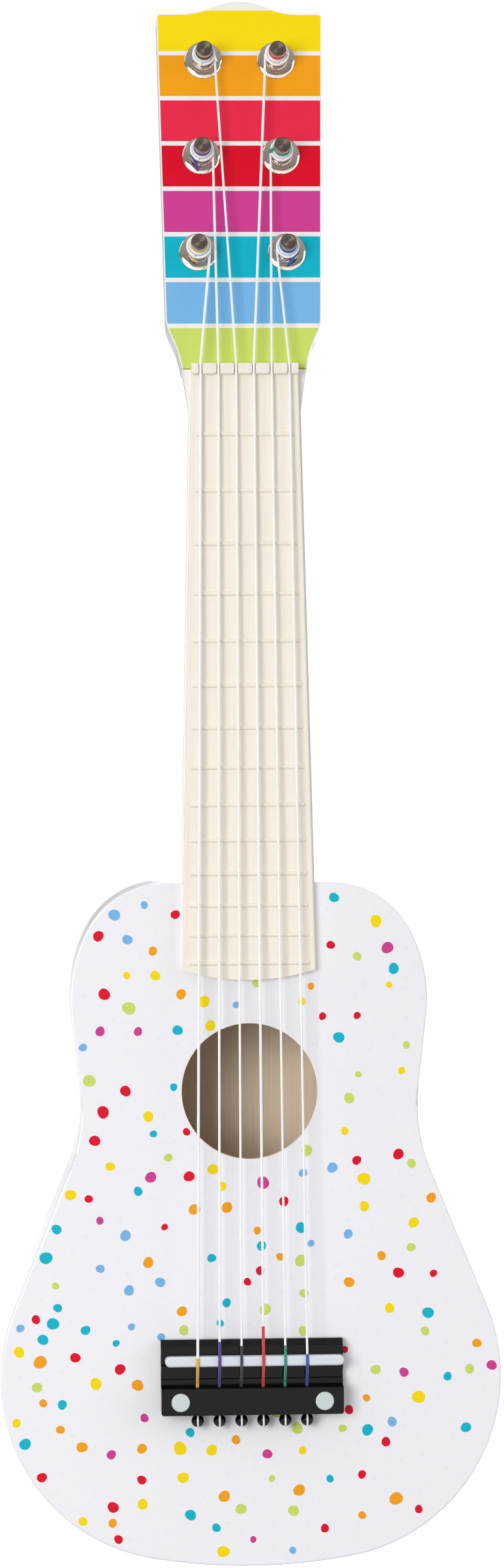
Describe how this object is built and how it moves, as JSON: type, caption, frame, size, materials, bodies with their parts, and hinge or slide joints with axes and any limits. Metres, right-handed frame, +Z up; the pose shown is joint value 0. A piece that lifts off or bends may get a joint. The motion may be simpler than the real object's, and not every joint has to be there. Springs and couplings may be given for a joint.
{
  "type": "toy guitar",
  "caption": "Small hollow-bodied six-string acoustic guitar for children, with round sound hole, moulded fretboard, black bridge and turning tuning pegs.",
  "frame": {"origin": "centre of the neck's front face at the fretboard side of the nut, where a wall hanger takes the headstock", "axes": "+Z up the neck, the strings and soundboard face -Y, +Y out of the back board, +X to the viewer's right from the front"},
  "size_m": [0.17, 0.0577, 0.5343],
  "materials": {
    "white_lacquer": "gloss white lacquer over plywood and solid wood",
    "raw_wood": "bare sanded basswood",
    "cream_plastic": "satin moulded ABS",
    "black_plastic": "polished black moulding",
    "white_plastic": "satin white rod",
    "grey_plastic": "pale grey caps",
    "chrome": "bright plated",
    "post_metal": "turned, ends dark",
    "screw_steel": "zinc plated",
    "nylon": "clear white monofilament with coloured silk ends",
    "knob_plastic": "moulded ivory plastic"
  },
  "bodies": {
    "root": {"soundboard": "white_lacquer", "back_board": "white_lacquer", "left_side": "white_lacquer", "right_side": "white_lacquer", "top_lining": "raw_wood", "back_lining": "raw_wood", "neck_block": "raw_wood", "tail_block": "raw_wood", "top_braces": "raw_wood", "back_braces": "raw_wood", "bridge_plate": "raw_wood", "neck": "white_lacquer", "neck_screws": "screw_steel", "fretboard": "cream_plastic", "bridge": "black_plastic", "saddle": "white_plastic", "screw_caps": "grey_plastic", "bridge_screws": "screw_steel", "string_beads": "black_plastic", "ferrules": "chrome", "rear_bushes": "chrome", "string_1": "nylon", "string_2": "nylon", "string_3": "nylon", "string_4": "nylon", "string_5": "nylon", "string_6": "nylon"},
    "peg_1": {"peg_post_1": "post_metal", "string_winding_1": "nylon", "peg_knob_1": "knob_plastic", "knob_screw_1": "screw_steel"},
    "peg_2": {"peg_post_2": "post_metal", "string_winding_2": "nylon", "peg_knob_2": "knob_plastic", "knob_screw_2": "screw_steel"},
    "peg_3": {"peg_post_3": "post_metal", "string_winding_3": "nylon", "peg_knob_3": "knob_plastic", "knob_screw_3": "screw_steel"},
    "peg_4": {"peg_post_4": "post_metal", "string_winding_4": "nylon", "peg_knob_4": "knob_plastic", "knob_screw_4": "screw_steel"},
    "peg_5": {"peg_post_5": "post_metal", "string_winding_5": "nylon", "peg_knob_5": "knob_plastic", "knob_screw_5": "screw_steel"},
    "peg_6": {"peg_post_6": "post_metal", "string_winding_6": "nylon", "peg_knob_6": "knob_plastic", "knob_screw_6": "screw_steel"}
  },
  "joints": [
    {"name": "peg_1_turn", "type": "hinge", "parent": "root", "child": "peg_1", "pos_m": [0.0151, 0.00715, 0.04257], "axis": [0, 0.9848, -0.1736], "range_deg": [-810, 150]},
    {"name": "peg_2_turn", "type": "hinge", "parent": "root", "child": "peg_2", "pos_m": [0.0136, 0.01309, 0.07626], "axis": [0, 0.9848, -0.1736], "range_deg": [-810, 150]},
    {"name": "peg_3_turn", "type": "hinge", "parent": "root", "child": "peg_3", "pos_m": [0.0125, 0.01903, 0.10994], "axis": [0, 0.9848, -0.1736], "range_deg": [-810, 150]},
    {"name": "peg_4_turn", "type": "hinge", "parent": "root", "child": "peg_4", "pos_m": [-0.0125, 0.01903, 0.10994], "axis": [0, -0.9848, 0.1736], "range_deg": [-810, 150]},
    {"name": "peg_5_turn", "type": "hinge", "parent": "root", "child": "peg_5", "pos_m": [-0.0136, 0.01309, 0.07626], "axis": [0, -0.9848, 0.1736], "range_deg": [-810, 150]},
    {"name": "peg_6_turn", "type": "hinge", "parent": "root", "child": "peg_6", "pos_m": [-0.0151, 0.00715, 0.04257], "axis": [0, -0.9848, 0.1736], "range_deg": [-810, 150]}
  ]
}
